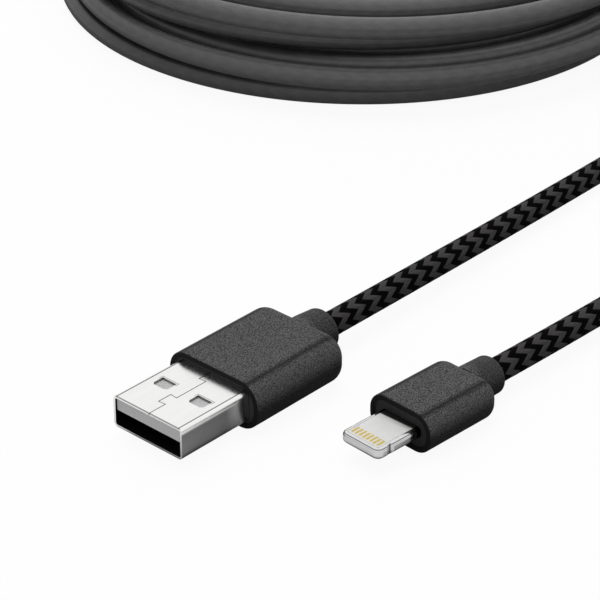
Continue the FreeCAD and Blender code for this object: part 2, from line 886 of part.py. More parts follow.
def inward_travel(turn):
    """Turns wound inward less turns wound outward up to this turn."""
    travel = 0.0
    before = 0.0
    sign = 1
    for start in CLIMB_STARTS:
        turning = start + CLIMB_TURNS / 2
        travel += sign * (min(turn, turning) - min(turn, before))
        before = turning
        sign = -sign
    return travel + sign * max(turn - before, 0.0)


def coil_point(turn):
    """A place on the coil's centreline, counted in turns from its start."""
    layer = layer_state(turn)
    below = min(int(layer), len(CLIMB_STARTS) - 1)
    part = layer - below
    away = LAYER_SHIFTS[below][0] * (1 - part) + LAYER_SHIFTS[below + 1][0] * part
    aside = LAYER_SHIFTS[below][1] * (1 - part) + LAYER_SHIFTS[below + 1][1] * part
    pitch = SIZES["cord_dia"] + SIZES["coil_turn_gap"]
    radius = SIZES["coil_radius"] - pitch * inward_travel(turn)
    angle = math.radians(COIL_FIRST_ANGLE + 360 * turn)
    far = math.radians(AWAY_ANGLE)
    rise = (SIZES["cord_dia"] + SIZES["coil_layer_gap"]) * layer
    return COIL_MIDDLE + Vector(
        radius * math.cos(angle) + away * math.cos(far) + aside * math.sin(far),
        radius * math.sin(angle) + away * math.sin(far) - aside * math.cos(far),
        LEAD_HEIGHT + rise)


def coil_heading(turn):
    step = 0.01
    return (coil_point(turn + step) - coil_point(turn - step)).normalize()


def arc_edge(start, heading, end):
    """The arc that leaves start along a heading and ends at end."""
    chord = end - start
    way = Vector(chord).normalize()
    side = heading - way * heading.dot(way)
    if side.Length < 1e-6:
        return Part.LineSegment(start, end).toShape()
    bulge = chord.Length / 2 * math.tan(heading.getAngle(way) / 2)
    middle = start + chord / 2 + side.normalize() * bulge
    return Part.Arc(start, middle, end).toShape()


def biarc(start, heading, end, final):
    """Two arcs that join two places smoothly with the given headings."""
    gap = end - start
    both = heading + final
    a = 2 * (1 - heading.dot(final))
    b = 2 * gap.dot(both)
    c = -gap.dot(gap)
    reach = -c / b if abs(a) < 1e-9 else (-b + math.sqrt(b * b - 4 * a * c)) / (2 * a)
    joint = (start + end + (heading - final) * reach) / 2
    back = arc_edge(end, final * -1, joint)
    return [arc_edge(start, heading, joint), back]


def coil_wire():
    """Straight stub, biarcs of a quarter turn each, straight stub."""
    count = round(coil_turns() * POINTS_A_TURN)
    turns = [coil_turns() * i / count for i in range(count + 1)]
    spots = [coil_point(turn) for turn in turns]
    ways = [coil_heading(turn) for turn in turns]
    ways[0] = level(ways[0])
    ways[-1] = level(ways[-1])
    stub = SIZES["cord_dia"]
    first = spots[0] - ways[0] * stub
    last = spots[-1] + ways[-1] * stub
    edges = [Part.LineSegment(first, spots[0]).toShape()]
    for i in range(count):
        edges += biarc(spots[i], ways[i], spots[i + 1], ways[i + 1])
    edges.append(Part.LineSegment(spots[-1], last).toShape())
    return Part.Wire(Part.__sortEdges__(edges)), first, ways[0], last


def level(way):
    return Vector(way.x, way.y, 0).normalize()


def coil_least_gap():
    """Least air between the cord's turns, measured on points of the centreline."""
    step = 1 / 72
    count = int(coil_turns() / step)
    spots = [coil_point(step * i) for i in range(count + 1)]
    least = 1e9
    for i in range(count + 1):
        for j in range(i + 24, count + 1):
            least = min(least, spots[i].distanceToPoint(spots[j]))
    return least - SIZES["cord_dia"]


def make_cords():
    diameter = SIZES["cord_dia"]
    coil, coil_in, way_in, coil_out = coil_wire()
    host_exit = Vector(-value(host_total) / 2, 0, SIZES["host_high"] / 2)
    sag = host_exit.z - LEAD_HEIGHT
    host_route = [
        host_exit,
        Vector(-40.0, -0.5, LEAD_HEIGHT + sag * 0.7),
        Vector(-76.0, -2.1, LEAD_HEIGHT),
        Vector(-104.0, -2.9, LEAD_HEIGHT),
        Vector(-118.5, -8.0, LEAD_HEIGHT),
        Vector(-137.0, -25.0, LEAD_HEIGHT),
        coil_in,
    ]
    phone_total = SIZES["tab_out"] + SIZES["phone_long"] + SIZES["phone_collar_long"]
    phone_set = placed(phone_place)
    phone_exit = phone_set.multVec(Vector(-phone_total, 0, 0))
    phone_straight = phone_set.multVec(Vector(-phone_total - LEAD_STRAIGHT, 0, 0))
    pile = coil_out.z - LEAD_HEIGHT
    phone_route = [
        coil_out,
        Vector(-139.0, -28.8, coil_out.z + 0.25),
        Vector(-154.1, -13.9, LEAD_HEIGHT + pile * 0.74),
        Vector(-154.1, 7.4, LEAD_HEIGHT + pile * 0.37),
        Vector(-139.0, 22.5, LEAD_HEIGHT),
        Vector(-100.0, 23.6, LEAD_HEIGHT),
        Vector(-60.0, 23.2, LEAD_HEIGHT + 0.15),
        phone_straight,
        phone_exit,
    ]
    host_wire, host_radii = route_wire(host_route)
    phone_wire, phone_radii = route_wire(phone_route)
    solid_tube("cord_host_lead", host_wire, host_route[1] - host_route[0], diameter)
    solid_tube("cord_coil", coil, way_in, diameter)
    solid_tube("cord_phone_lead", phone_wire, phone_route[1] - phone_route[0], diameter)
    print("host lead radii", [round(r, 1) for r in host_radii])
    print("phone lead radii", [round(r, 1) for r in phone_radii])
    print("coil least gap", round(coil_least_gap(), 3))
    print("coil from", coil_in, "to", coil_out)
    lengths = [wire.Length for wire in (host_wire, coil, phone_wire)]
    print("lengths", [round(item, 1) for item in lengths], "sum", round(sum(lengths), 1))


def build():
    host_shell()
    host_insulator()
    for name, kind, sign, _, _ in HOST_WIRES:
        host_contact(name, kind, sign)
    host_solder()
    host_wires()
    cable_end("host_cable_end", host_place, host_cable_start(), dim("host_bare_long"),
              host_total)
    crimp_ring("host_crimp", host_place, host_cable_start() + dim("seat_gap"))
    host_inner_mould()
    plug_housing("host_housing", host_place, dim("shell_out"), "host")

    phone_tab_frame()
    phone_tab_insert()
    phone_contacts("phone_contacts_top", 1)
    phone_contacts("phone_contacts_under", -1)
    phone_board()
    phone_control_chip()
    phone_capacitors()
    phone_solder()
    phone_wires()
    phone_shield("phone_shield_upper", 1)
    phone_shield("phone_shield_lower", -1)
    phone_stop = dim("tab_out") + dim("phone_long") + dim("phone_collar_long")
    cable_end("phone_cable_end", phone_place, phone_cable_start(), dim("phone_bare_long"),
              phone_stop)
    crimp_ring("phone_crimp", phone_place, phone_cable_start() + dim("seat_gap"))
    phone_inner_mould()
    plug_housing("phone_housing", phone_place, dim("tab_out"), "phone")
    make_cords()


def check_document():
    doc.recompute()
    for item in doc.Objects:
        if "Invalid" in item.State or "Error" in item.State:
            raise RuntimeError("%s failed: %s" % (item.Name, item.State))
        if item.TypeId == "PartDesign::Pocket":
            if item.Shape.Volume > item.BaseFeature.Shape.Volume - 1e-6:
                raise RuntimeError("%s cuts nothing" % item.Name)
    for node in nodes:
        if node.Shape.isNull() or not node.Shape.isValid():
            raise RuntimeError("%s has no valid shape" % node.Label)


build()
check_document()
for node in nodes:
    node.Shape.exportStep("parts/%s.step" % node.Label)
print(len(nodes), "nodes written")
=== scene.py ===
import math

import bpy
import numpy as np
from mathutils import Matrix, Vector


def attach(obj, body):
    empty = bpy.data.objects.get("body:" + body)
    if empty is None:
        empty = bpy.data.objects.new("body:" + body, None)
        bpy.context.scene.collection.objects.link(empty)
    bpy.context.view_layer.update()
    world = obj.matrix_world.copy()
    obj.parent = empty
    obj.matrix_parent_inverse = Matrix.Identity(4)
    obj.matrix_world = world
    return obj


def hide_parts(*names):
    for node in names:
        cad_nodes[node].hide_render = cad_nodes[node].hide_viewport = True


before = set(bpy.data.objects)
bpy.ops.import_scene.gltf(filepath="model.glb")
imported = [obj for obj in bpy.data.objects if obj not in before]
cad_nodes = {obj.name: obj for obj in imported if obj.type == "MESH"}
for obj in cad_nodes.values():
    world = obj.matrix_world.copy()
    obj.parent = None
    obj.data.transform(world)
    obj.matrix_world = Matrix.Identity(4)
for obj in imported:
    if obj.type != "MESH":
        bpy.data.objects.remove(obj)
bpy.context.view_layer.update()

# Braided charging cable. Lamps and floor are in metres.
MM = 0.001

# Camera, in the frame of the CAD model
CAMERA_PLACE = (195.04, 189.06, 172.6)
CAMERA_AHEAD = (-0.63791, -0.58352, -0.50257)
CAMERA_RIGHT = (-0.675, 0.738, 0.0)
LENS_MM = 150.0
SENSOR_MM = 36.0

# Cord, as in part.py but for the shifts of its turns
CORD_DIAMETER = 3.5
LEAD_HEIGHT = 1.75
HOST_EXIT = (-16.3, 0.0, 3.5)
PHONE_EXIT = (-23.182, 22.809, 2.875)
HOST_ROUTE = (
    HOST_EXIT, (-40.0, -0.5, 2.975), (-76.0, -2.1, LEAD_HEIGHT), (-104.0, -2.9, LEAD_HEIGHT),
    (-118.5, -8.0, LEAD_HEIGHT), (-137.0, -25.0, LEAD_HEIGHT),
)
PHONE_ROUTE = (
    (-139.0, -28.8, 14.0), (-154.1, -13.9, 10.63), (-154.1, 7.4, 6.19), (-139.0, 22.5, LEAD_HEIGHT),
    (-100.0, 23.6, LEAD_HEIGHT), (-60.0, 23.2, 1.9), (-33.166, 23.367, 2.875), PHONE_EXIT,
)
COIL_MIDDLE = (-113.2, -78.0)
COIL_RADIUS = 53.4
COIL_TURN_PITCH = 4.6
COIL_LAYER_RISE = 4.0
COIL_FIRST_ANGLE = 137.5
COIL_TURNS = 9 - (COIL_FIRST_ANGLE - 90.0) / 360
COIL_POINTS_A_TURN = 16
CLIMB_TURNS = 0.5
CLIMB_STARTS = (2.236, 4.736, 6.736)
AWAY_ANGLE = math.radians(222.5)
# How far each turn lies off a plain round coil where it passes the front: away from the
# plugs, and aside. Behind the coil there is no shift, while part.py moves its two upper
# layers as a whole. The reach and the fade of these shifts are in turns.
TURN_SHIFTS = ((1.4, -0.2), (1.4, -0.2), (2.0, 0.8), (1.2, 1.2), (0.3, 1.5), (4.6, 0.2),
               (5.5, 0.0), (4.7, 0.8), (1.9, 1.0))
FIRST_FRONT = 0.736
SHIFT_REACH = 0.45
SHIFT_FADE = 0.22
SPLINE_STEPS = 24

# Braid: columns round the cord, bands of floats along it, and the mesh rows of each
COLUMNS = 12
COLUMN_STEPS = (0.0, 0.14, 0.5, 0.86)
BAND_LONG = 1.62
BAND_STEPS = (0.0, 0.14, 0.5, 0.86)
BAND_SHEAR = 1.62
FIRST_BAND = 0.7
BRAID_RELIEF = 0.07
GROOVE_HALF = 0.22
# Painted shade in the grooves between floats: its width in a float's share, and its tone
FLOAT_RIM = 0.08
FLOAT_RIM_SHADE = 0.75
FLOAT_FILAMENTS = 5
BRAID_FADE = 12.0
SQUARE_END = 4.0
HOST_LEAD_LONG = 150.0
PHONE_LEAD_LONG = 199.0
COIL_STEP = 1.8
FACING_ANGLE = math.radians(49.3)
COLUMN_ANGLE = 2 * math.pi / COLUMNS

# Painted shade between strands where they touch: how far it reaches, and the cord each way
# that is the strand's own. Places are compared with every third point of the line, in batches.
CONTACT_REACH = 2.6
OWN_STRETCH = 60.0
CONTACT_STRIDE = 3
CONTACT_BATCH = 600

# Plugs, as in part.py: tip, turn seen from above, front and rear of the housing
HOST_PLUG = ((16.3, 0.0, 3.5), 0.0, -11.6, -28.7)
PHONE_PLUG = ((1.13, 21.45, 2.875), math.radians(3.2), -7.25, -20.15)

# Distance from the plug's middle line of the edge between top and flank, where shade is painted
HOST_CREASE = 5.7
PHONE_CREASE = 3.5

# Charger plug's shell: height of its middle, half height, half width, its mouth, and
# how far from the middle line the seam and its jogs reach
SHELL_MID = 3.5
SHELL_TOP = 2.25
SHELL_SIDE = 6.0
SHELL_FRONT = 16.3
SEAM_SIDE = 1.2
WINDOW_X = SHELL_FRONT - 5.16 - 1.95 / 2
WINDOW_Y = 6.26 / 2
WINDOW_LONG = 1.95
WINDOW_WIDE = 2.5

# Finishes. The spans are the part of a noise's range over which two tones change.
CLOUD_SPAN = (0.3, 0.7)
SPOT_SPAN = (0.35, 0.65)
SPECK_SPAN = (0.39, 0.61)
SHADOW = "161616"
SHELL_REFLECTION_LINE = "3a3a3a"
TAB_SHADE_TONE = "3c3c3c"
GRAIN_SIZE = 0.165
GRAIN_TILT = (0.5, 0.3, 0.2)
DRAWN_LINES = (0.06, 1.0, 1.0)
# Slant across the tab of the painted shadow that the moulding casts on it
TAB_SHADE_SLANT = 0.06
WIRE_COATS = {
    "power": ("wire_red", "b3231e", "96201c"),
    "ground": ("wire_black", "1a1a1a", "242424"),
    "data_minus": ("wire_white", "e6e5e0", "d6d4cd"),
    "data_plus": ("wire_green", "2e7d44", "266a3a"),
}

# Stage
FLOOR_HALF = 3.0
FLOOR_GLOW = 0.93
# Reach of the floor's painted shade near the object, seen only in gloss
NEAR_FLOOR = 30.0
FILL = 0.2


# Route of the cord

def eased(share):
    """The share kept between 0 and 1, with soft ends."""
    share = min(max(share, 0.0), 1.0)
    return share * share * (3 - 2 * share)


def layer_state(turn):
    """Layers climbed by this turn of the coil."""
    layer = 0.0
    for start in CLIMB_STARTS:
        layer += eased((turn - start) / CLIMB_TURNS)
    return layer


def inward_travel(turn):
    """Turns wound inwards less turns wound outwards; the way changes at each climb."""
    travel = 0.0
    before = 0.0
    sign = 1
    for start in CLIMB_STARTS:
        turning = start + CLIMB_TURNS / 2
        travel += sign * (min(turn, turning) - min(turn, before))
        before = turning
        sign = -sign
    return travel + sign * max(turn - before, 0.0)


def turn_shift(turn):
    """The shift at this turn, whole in front of the coil and none behind it."""
    place = turn - FIRST_FRONT
    front = min(max(round(place), 0), len(TURN_SHIFTS) - 1)
    share = eased((SHIFT_REACH - abs(place - front)) / SHIFT_FADE)
    return [part * share for part in TURN_SHIFTS[front]]


def coil_point(turn, spread):
    """A place on the coil; spread makes up for the spline cutting its corners."""
    layer = layer_state(turn)
    away, aside = turn_shift(turn)
    radius = (COIL_RADIUS - COIL_TURN_PITCH * inward_travel(turn)) * spread
    angle = math.radians(COIL_FIRST_ANGLE) + 2 * math.pi * turn
    away_x, away_y = math.cos(AWAY_ANGLE), math.sin(AWAY_ANGLE)
    return (COIL_MIDDLE[0] + radius * math.cos(angle) + away * away_x + aside * away_y,
            COIL_MIDDLE[1] + radius * math.sin(angle) + away * away_y - aside * away_x,
            LEAD_HEIGHT + COIL_LAYER_RISE * layer)


def cord_points():
    """Control points of the whole route, from the charger plug to the phone plug."""
    count = round(COIL_TURNS * COIL_POINTS_A_TURN)
    spread = 1 / math.cos(math.pi / COIL_POINTS_A_TURN)
    coil = [coil_point(COIL_TURNS * i / count, spread) for i in range(count + 1)]
    return [*HOST_ROUTE, *coil, *PHONE_ROUTE]


def spline_line(points):
    """Points along the open spline through the route, in millimetres."""
    curve = bpy.data.curves.new("cord_route", "CURVE")
    curve.dimensions = "3D"
    curve.resolution_u = SPLINE_STEPS
    spline = curve.splines.new("NURBS")
    spline.points.add(len(points) - 1)
    for spot, place in zip(spline.points, points):
        spot.co = (*place, 1.0)
    spline.order_u = 3
    spline.use_endpoint_u = True
    spline.resolution_u = SPLINE_STEPS
    holder = bpy.data.objects.new("cord_route", curve)
    mesh = bpy.data.meshes.new_from_object(holder)
    line = np.empty(len(mesh.vertices) * 3)
    mesh.vertices.foreach_get("co", line)
    bpy.data.objects.remove(holder)
    bpy.data.curves.remove(curve)
    bpy.data.meshes.remove(mesh)
    return line.reshape(-1, 3)


class Path:
    """A line with a steady frame across it, read at any distance along it."""

    def __init__(self, line, side):
        steps = np.linalg.norm(np.diff(line, axis=0), axis=1)
        line = line[np.concatenate(([True], steps > 1e-6))]
        steps = np.linalg.norm(np.diff(line, axis=0), axis=1)
        self.along = np.concatenate(([0.0], np.cumsum(steps)))
        self.line = line
        ways = np.gradient(line, self.along, axis=0)
        self.ways = ways / np.linalg.norm(ways, axis=1)[:, None]
        self.sides = np.empty_like(line)
        side = np.array(side, float)
        for i, way in enumerate(self.ways):
            side = side - way * side.dot(way)
            side = side / np.linalg.norm(side)
            self.sides[i] = side
        self.length = self.along[-1]

    def read(self, values, distance):
        return np.stack([np.interp(distance, self.along, values[:, k]) for k in range(3)], -1)

    def ring(self, distance, angle, radius):
        """Places round the line, at these distances, angles and radii."""
        centre = self.read(self.line, distance)
        ways = self.read(self.ways, distance)
        sides = self.read(self.sides, distance)
        ups = np.cross(ways, sides)
        turned = np.cos(angle)[..., None] * sides + np.sin(angle)[..., None] * ups
        return centre + turned * radius[..., None]


def fraction(values):
    return values - np.floor(values)


def smooth(values):
    """The values kept between 0 and 1, with soft ends."""
    values = np.clip(values, 0, 1)
    return values * values * (3 - 2 * values)


def zigzag(columns):
    """Runs from 0 to 1 and back over each two columns of the braid."""
    return 1 - np.abs(fraction(columns / 2) * 2 - 1)


def groove(values):
    """1 on the line between two floats, 0 on their backs."""
    away = np.minimum(fraction(values), 1 - fraction(values))
    return 1 - smooth(away / GROOVE_HALF)


def band_length(length):
    """A length near BAND_LONG with which both leads start with a grey band."""
    span = length - 2 * FIRST_BAND - BAND_SHEAR
    pairs = round((span / BAND_LONG - 1) / 2)
    return span / (2 * pairs + 1)


def cord_rows(length, band):
    """Distances of the mesh rows of the host lead, the coil and the phone lead."""
    bands = np.arange(-1, int(length / band) + 1)
    rows = FIRST_BAND + ((bands[:, None] + np.array(BAND_STEPS)) * band).ravel()
    rows = rows[(rows > 0.1) & (rows < length - 0.1)]
    host = rows[rows < HOST_LEAD_LONG]
    phone = rows[rows > length - PHONE_LEAD_LONG]
    coil = np.arange(host[-1] + COIL_STEP, phone[0] - COIL_STEP / 2, COIL_STEP)
    return np.insert(host, 0, 0.0), coil, np.append(phone, length)


def two_tone(distance, length):
    """1 on the two-tone leads, 0 on the coil."""
    host = smooth((HOST_LEAD_LONG - distance) / BRAID_FADE)
    phone = smooth((distance - length + PHONE_LEAD_LONG) / BRAID_FADE)
    return np.maximum(host, phone)


def contact_shade_share(path, places, distance):
    """Share of painted shade: 1 where another strand touches this one, 0 from a short way off."""
    line, along = path.line[None, ::CONTACT_STRIDE], path.along[None, ::CONTACT_STRIDE]
    share = np.zeros(len(places))
    for start in range(0, len(places), CONTACT_BATCH):
        part = slice(start, start + CONTACT_BATCH)
        away = np.linalg.norm(places[part, None] - line, axis=-1)
        own = np.abs(distance[part, None] - along) < OWN_STRETCH
        gap = np.where(own, np.inf, away).min(axis=1) - CORD_DIAMETER / 2
        share[part] = 1 - smooth(gap / CONTACT_REACH)
    return share


def whole_twist(path):
    """Twist over the cord that turns the same columns to the viewer at both plugs."""
    side = path.read(path.sides, path.length)
    up = np.cross(path.read(path.ways, path.length), side)
    level = math.atan2(up[2], side[2])
    twist = level - 2 * FACING_ANGLE - COLUMN_ANGLE
    return twist - round(twist / (2 * COLUMN_ANGLE)) * 2 * COLUMN_ANGLE


def cord_mesh(path):
    """Tube of three stretches: fine braided leads and a coarser coil between."""
    length = path.length
    band = band_length(length)
    columns = (np.arange(COLUMNS)[:, None] + np.array(COLUMN_STEPS)).ravel()
    twist = whole_twist(path)
    places, weave, braided, contact_shade, counts = [], [], [], [], []
    for stretch, rows in enumerate(cord_rows(length, band)):
        across = columns[::2] if stretch == 1 else columns
        row, column = np.meshgrid(rows, across, indexing="ij")
        ends = smooth(row / SQUARE_END) * smooth((length - row) / SQUARE_END)
        follow = ends * two_tone(row, length)
        distance = row + BAND_SHEAR * zigzag(column) * follow
        along = (distance - FIRST_BAND) / band
        float_place = along - BAND_SHEAR / BAND_LONG * zigzag(column)
        depth = np.maximum(groove(column), groove(float_place)) * BRAID_RELIEF * follow
        turned = smooth((distance - HOST_LEAD_LONG) / (length - HOST_LEAD_LONG - PHONE_LEAD_LONG))
        angle = FACING_ANGLE + (column + 1) * COLUMN_ANGLE + turned * twist
        spots = path.ring(distance, angle, CORD_DIAMETER / 2 - depth)
        places.append(spots.reshape(-1, 3))
        weave.append(np.stack([column, along], -1).reshape(-1, 2))
        braided.append(two_tone(distance, length).ravel())
        contact_shade.append(contact_shade_share(path, places[-1], distance.ravel()))
        counts.append((len(rows), len(across)))
    shares = {"Braid": np.concatenate(braided), "ContactShade": np.concatenate(contact_shade)}
    return np.concatenate(places), np.concatenate(weave), shares, counts


def cord_faces(counts):
    """Faces with, for each corner, whether it lies past the last column."""
    faces = []
    wraps = []
    start = 0
    for stretch, (rows, sides) in enumerate(counts):
        for row in range(rows - 1):
            low = start + row * sides
            for k in range(sides):
                last = k + 1 == sides
                after = 0 if last else k + 1
                faces.append((low + k, low + after, low + sides + after, low + sides + k))
                wraps.append((False, last, last, False))
        end = start + (rows - 1) * sides
        beyond = end + sides
        if stretch == 0:
            for k in range(sides // 2):
                last = k + 1 == sides // 2
                after = 0 if last else 2 * k + 2
                coarse = 0 if last else k + 1
                faces.append((end + 2 * k, end + 2 * k + 1, end + after,
                              beyond + coarse, beyond + k))
                wraps.append((False, False, last, last, False))
        if stretch == 1:
            for k in range(sides):
                last = k + 1 == sides
                after = 0 if last else k + 1
                fine = 0 if last else 2 * k + 2
                faces.append((end + k, end + after, beyond + fine,
                              beyond + 2 * k + 1, beyond + 2 * k))
                wraps.append((False, last, last, False, False))
        start += rows * sides
    first = counts[0][1]
    faces.append(tuple(reversed(range(first))))
    wraps.append((False,) * first)
    last_row = start - counts[2][1]
    faces.append(tuple(range(last_row, start)))
    wraps.append((False,) * counts[2][1])
    return faces, wraps


def braided_cord(path):
    """The cord's object, with its weave as UV map and its shares as attributes."""
    places, weave, shares, counts = cord_mesh(path)
    faces, wraps = cord_faces(counts)
    mesh = bpy.data.meshes.new("cord")
    mesh.from_pydata([tuple(place) for place in places * MM], [], faces)
    corners = np.array([corner for face in faces for corner in face])
    past = np.array([wrap for face in wraps for wrap in face])
    coordinates = weave[corners]
    coordinates[:, 0] += past * COLUMNS
    layer = mesh.uv_layers.new(name="Weave")
    layer.data.foreach_set("uv", coordinates.astype(np.float32).ravel())
    for name, values in shares.items():
        share = mesh.attributes.new(name, "FLOAT", "POINT")
        share.data.foreach_set("value", values.astype(np.float32))
    mesh.polygons.foreach_set("use_smooth", [len(face) < COLUMNS for face in faces])
    cord = bpy.data.objects.new("cord", mesh)
    bpy.context.collection.objects.link(cord)
    return cord


# Materials

def tone(code):
    """Linear colour of a hexadecimal screen colour."""
    parts = [int(code[i:i + 2], 16) / 255 for i in (0, 2, 4)]
    linear = [p / 12.92 if p <= 0.04045 else ((p + 0.055) / 1.055) ** 2.4 for p in parts]
    return (*linear, 1.0)


def dimmed(colour, share):
    """The colour times the share."""
    return (*[part * share for part in colour[:3]], 1.0)


class Shade:
    """A material under construction, with short calls for its nodes."""

    def __init__(self, name, metallic=0.0, roughness=0.5, specular=0.5):
        self.material = bpy.data.materials.new(name)
        self.material.use_nodes = True
        self.tree = self.material.node_tree
        self.surface = self.tree.nodes["Principled BSDF"]
        self.surface.inputs["Metallic"].default_value = metallic
        self.surface.inputs["Roughness"].default_value = roughness
        self.surface.inputs["Specular IOR Level"].default_value = specular
        self.place = self.node("TexCoord").outputs["Object"]

    def node(self, kind, **settings):
        made = self.tree.nodes.new("ShaderNode" + kind)
        for key, setting in settings.items():
            setattr(made, key, setting)
        return made

    def feed(self, socket, value):
        if isinstance(value, bpy.types.NodeSocket):
            self.tree.links.new(value, socket)
        else:
            socket.default_value = value

    # Places

    def split(self, vector=None):
        """The three parts of a vector, or of the place on the object."""
        made = self.node("SeparateXYZ")
        self.feed(made.inputs[0], self.place if vector is None else vector)
        return made.outputs

    def plug_place(self, plug):
        """Along the plug from its tip, across it to the left, and up, in metres."""
        tip, turn = plug[:2]
        made = self.node("Mapping", vector_type="TEXTURE")
        self.feed(made.inputs["Vector"], self.place)
        made.inputs["Location"].default_value = [v * MM for v in tip]
        made.inputs["Rotation"].default_value = (0.0, 0.0, -turn)
        return self.split(made.outputs[0])

    def stretched(self, scale, turn=(0.0, 0.0, 0.0)):
        """The place on the object, scaled and turned."""
        made = self.node("Mapping")
        self.feed(made.inputs["Vector"], self.place)
        made.inputs["Scale"].default_value = scale
        made.inputs["Rotation"].default_value = turn
        return made.outputs[0]

    def noise(self, size, detail=2.0, rough=0.5, place=None):
        """Noise whose blotches are about this many millimetres wide."""
        made = self.node("TexNoise")
        self.feed(made.inputs["Vector"], self.place if place is None else place)
        made.inputs["Scale"].default_value = 1 / (size * MM)
        made.inputs["Detail"].default_value = detail
        made.inputs["Roughness"].default_value = rough
        return made.outputs[0]

    # Numbers and masks

    def maths(self, operation, *values):
        made = self.node("Math", operation=operation)
        for socket, value in zip(made.inputs, values):
            self.feed(socket, value)
        return made.outputs[0]

    def times(self, first, *others):
        for other in others:
            first = self.maths("MULTIPLY", first, other)
        return first

    def more(self, first, second):
        return self.maths("MAXIMUM", first, second)

    def less(self, first, second):
        return self.maths("SUBTRACT", first, second)

    def size(self, value):
        return self.maths("ABSOLUTE", value)

    def past(self, value, limit):
        """1 where the value is over this many millimetres."""
        return self.maths("GREATER_THAN", value, limit * MM)

    def within(self, value, limit):
        """1 where the value is under this many millimetres."""
        return self.maths("LESS_THAN", value, limit * MM)

    def ramp(self, value, low, high, to_low=0.0, to_high=1.0):
        made = self.node("MapRange", clamp=True)
        for socket, number in zip(made.inputs, (value, low, high, to_low, to_high)):
            self.feed(socket, number)
        return made.outputs[0]

    def climb(self, value, low, high, to_low=0.0, to_high=1.0):
        """A ramp between two places in millimetres."""
        return self.ramp(value, low * MM, high * MM, to_low, to_high)

    def band(self, value, low, high, soft):
        """1 between two places in millimetres, with soft borders."""
        rise = self.climb(value, low - soft, low + soft)
        fall = self.climb(value, high - soft, high + soft, 1.0, 0.0)
        return self.times(rise, fall)

    # Colours

    def mix(self, share, first, second, blend="MIX"):
        made = self.node("Mix", data_type="RGBA", blend_type=blend)
        self.feed(made.inputs[0], share)
        self.feed(made.inputs[6], first)
        self.feed(made.inputs[7], second)
        return made.outputs[2]

    def blend(self, share, first, second):
        return self.mix(share, tone(first), tone(second))

    def cover(self, base, code, share):
        """The base with a tone laid over it."""
        return self.mix(share, base, tone(code))

    # Surface

    def colour(self, value):
        self.feed(self.surface.inputs["Base Color"], value)

    def roughness(self, value):
        self.feed(self.surface.inputs["Roughness"], value)

    def uneven_roughness(self, cloud, middle, share):
        low, high = middle * (1 - share), middle * (1 + share)
        self.roughness(self.ramp(cloud, *CLOUD_SPAN, low, high))

    def bump(self, height, distance):
        made = self.node("Bump")
        made.inputs["Strength"].default_value = 1.0
        made.inputs["Distance"].default_value = distance * MM
        self.feed(made.inputs["Height"], height)
        self.feed(self.surface.inputs["Normal"], made.outputs[0])


def braid_material():
    """Black and grey floats on leads, plain dark grey coil, painted shade in grooves and contacts.
    """
    shade = Shade("cord_braid", specular=0.02)
    weave = shade.node("UVMap", uv_map="Weave").outputs[0]
    braided = shade.node("Attribute", attribute_name="Braid").outputs["Fac"]
    contact_shade = shade.node("Attribute", attribute_name="ContactShade").outputs["Fac"]
    column, along, _ = shade.split(weave)
    zig = shade.maths("PINGPONG", column, 1.0)
    band = shade.less(along, shade.times(zig, BAND_SHEAR / BAND_LONG))
    dark = shade.maths("GREATER_THAN", shade.maths("FRACT", shade.times(band, 0.5)), 0.5)
    # Painted shade: the floats darken towards their borders, where they meet their neighbours
    edge = shade.maths("PINGPONG", band, 0.5)
    seam = shade.maths("PINGPONG", column, 0.5)
    rim = shade.ramp(shade.maths("MINIMUM", edge, seam), 0.0, FLOAT_RIM, FLOAT_RIM_SHADE, 1.0)
    groove_shade = shade.node("CombineColor")
    for socket in groove_shade.inputs:
        shade.feed(socket, rim)
    grain = shade.noise(0.5, detail=3.0)
    lead = shade.mix(dark, shade.blend(grain, "474545", "565454"),
                     shade.blend(grain, "020202", "080707"))
    lead = shade.mix(1.0, lead, groove_shade.outputs[0], blend="MULTIPLY")
    coil = shade.mix(dark, shade.blend(grain, "646465", "6e6e6f"),
                     shade.blend(grain, "606061", "6a6a6b"))
    # Painted shade: dark lines where the coil's strands touch
    coil = shade.cover(coil, "161618", shade.times(contact_shade, 0.9))
    shade.colour(shade.mix(braided, coil, lead))
    shade.roughness(shade.ramp(braided, 0.0, 1.0, 0.4, 0.72))
    shade.surface.inputs["Coat Roughness"].default_value = 0.3
    shade.feed(shade.surface.inputs["Coat Weight"], shade.ramp(braided, 0.0, 1.0, 0.6, 0.0))
    across = shade.maths("FRACT", band)
    filament = shade.maths("SINE", shade.times(across, 2 * math.pi * FLOAT_FILAMENTS))
    shade.bump(shade.times(filament, shade.ramp(braided, 0.0, 1.0, 0.1, 1.0)), 0.012)
    return shade.material


def inner_material():
    """Smooth dark moulding round the shell and the tab."""
    shade = Shade("mould_black", roughness=0.5, specular=0.1)
    fine = shade.noise(0.3)
    shade.colour(shade.blend(fine, "323232", "424242"))
    shade.uneven_roughness(fine, 0.5, 0.1)
    shade.bump(fine, 0.003)
    return shade.material


